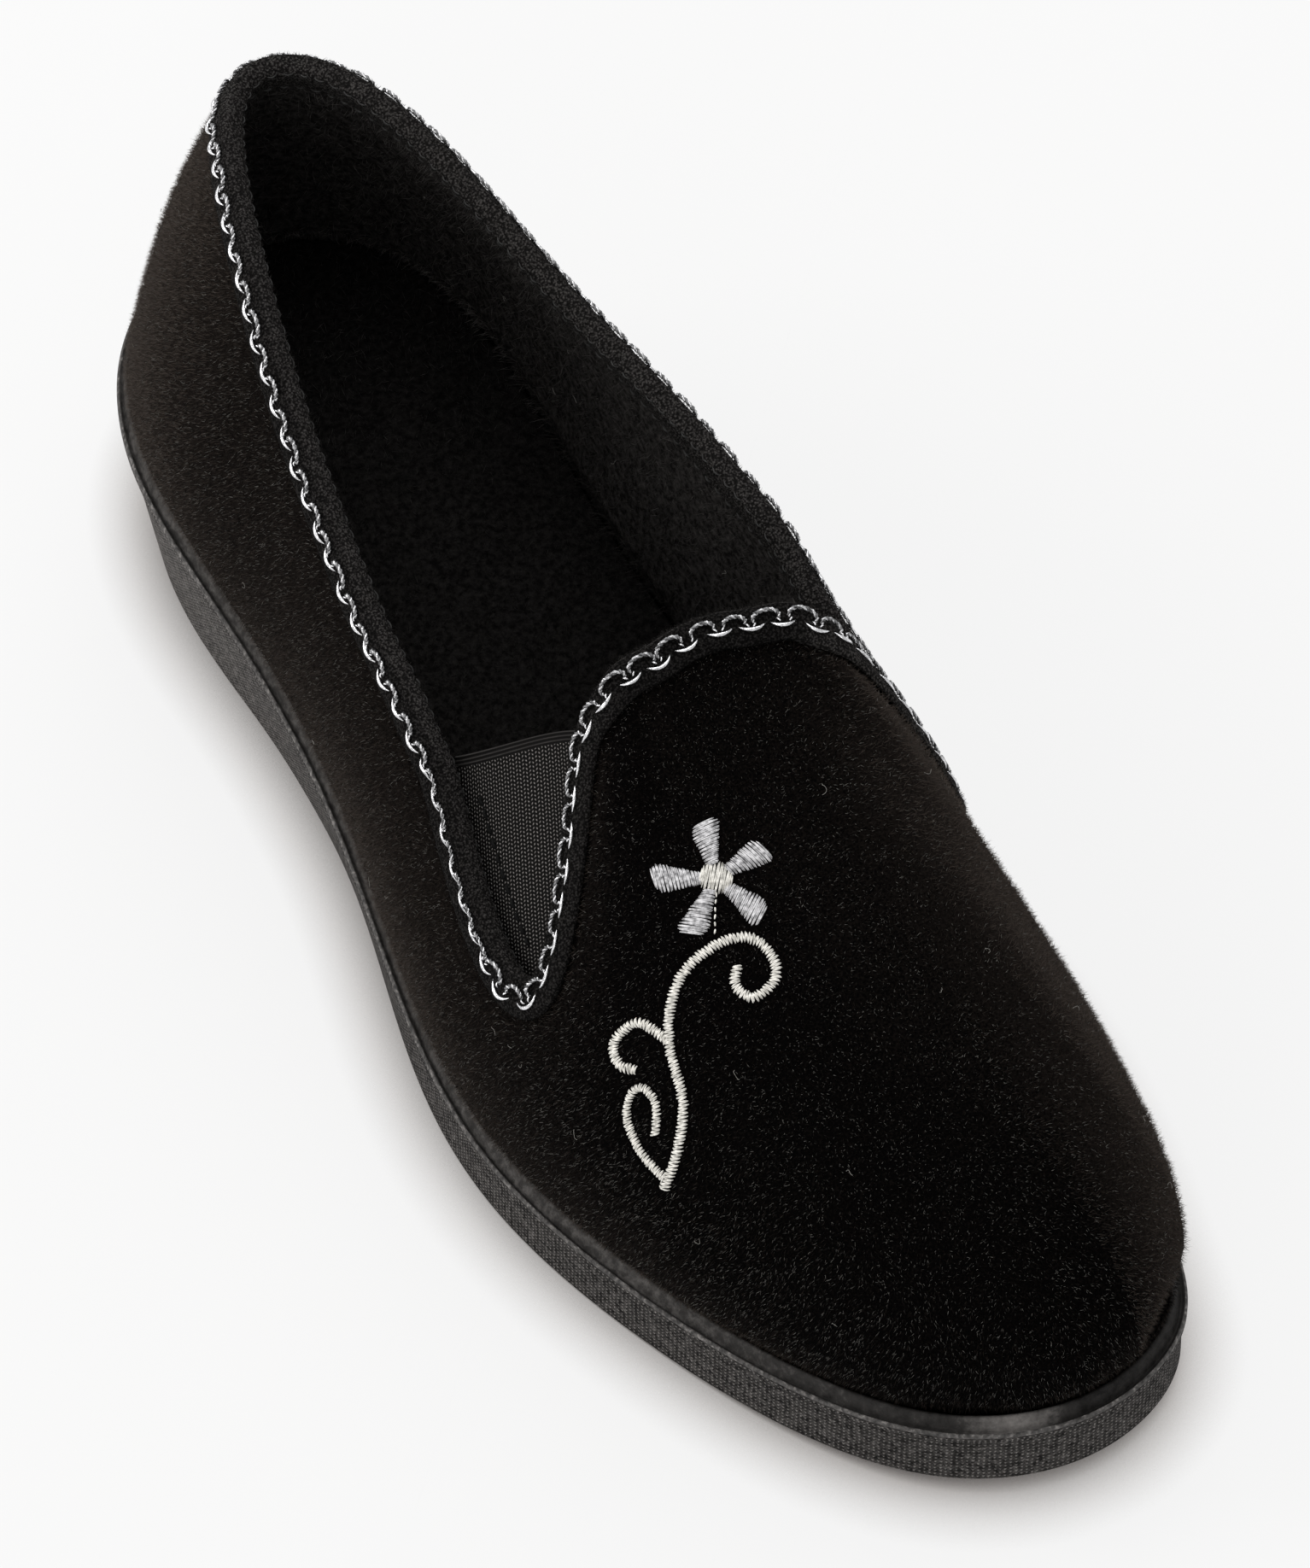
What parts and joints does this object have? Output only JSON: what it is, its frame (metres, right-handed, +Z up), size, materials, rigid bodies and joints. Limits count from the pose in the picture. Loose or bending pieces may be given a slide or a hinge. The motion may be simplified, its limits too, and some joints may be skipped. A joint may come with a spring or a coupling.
{
  "type": "wedge slipper",
  "caption": "Closed velour house slipper with a low wedge sole, a bound and braided collar, elastic gores in notches beside the vamp and an embroidered flower.",
  "frame": {"origin": "middle of the sole's outline in plan, on the floor", "axes": "+Y from heel to toe, +X towards the outer side of the foot, +Z up"},
  "size_m": [0.0891, 0.2499, 0.0846],
  "materials": {
    "wedge_sole": "matt with a woven-textile grain on the side wall, satin lip",
    "insole": "short fleece",
    "upper": "short-pile black velour, fleece lining",
    "gore": "woven elastic",
    "collar_binding": "brushed knit tape",
    "braid_trim": "silver metallic yarn"
  },
  "bodies": {
    "root": {"wedge_sole": "wedge_sole", "insole": "insole", "upper": "upper", "gore_outer": "gore", "gore_inner": "gore", "collar_binding": "collar_binding", "braid_trim": "braid_trim"}
  },
  "joints": []
}
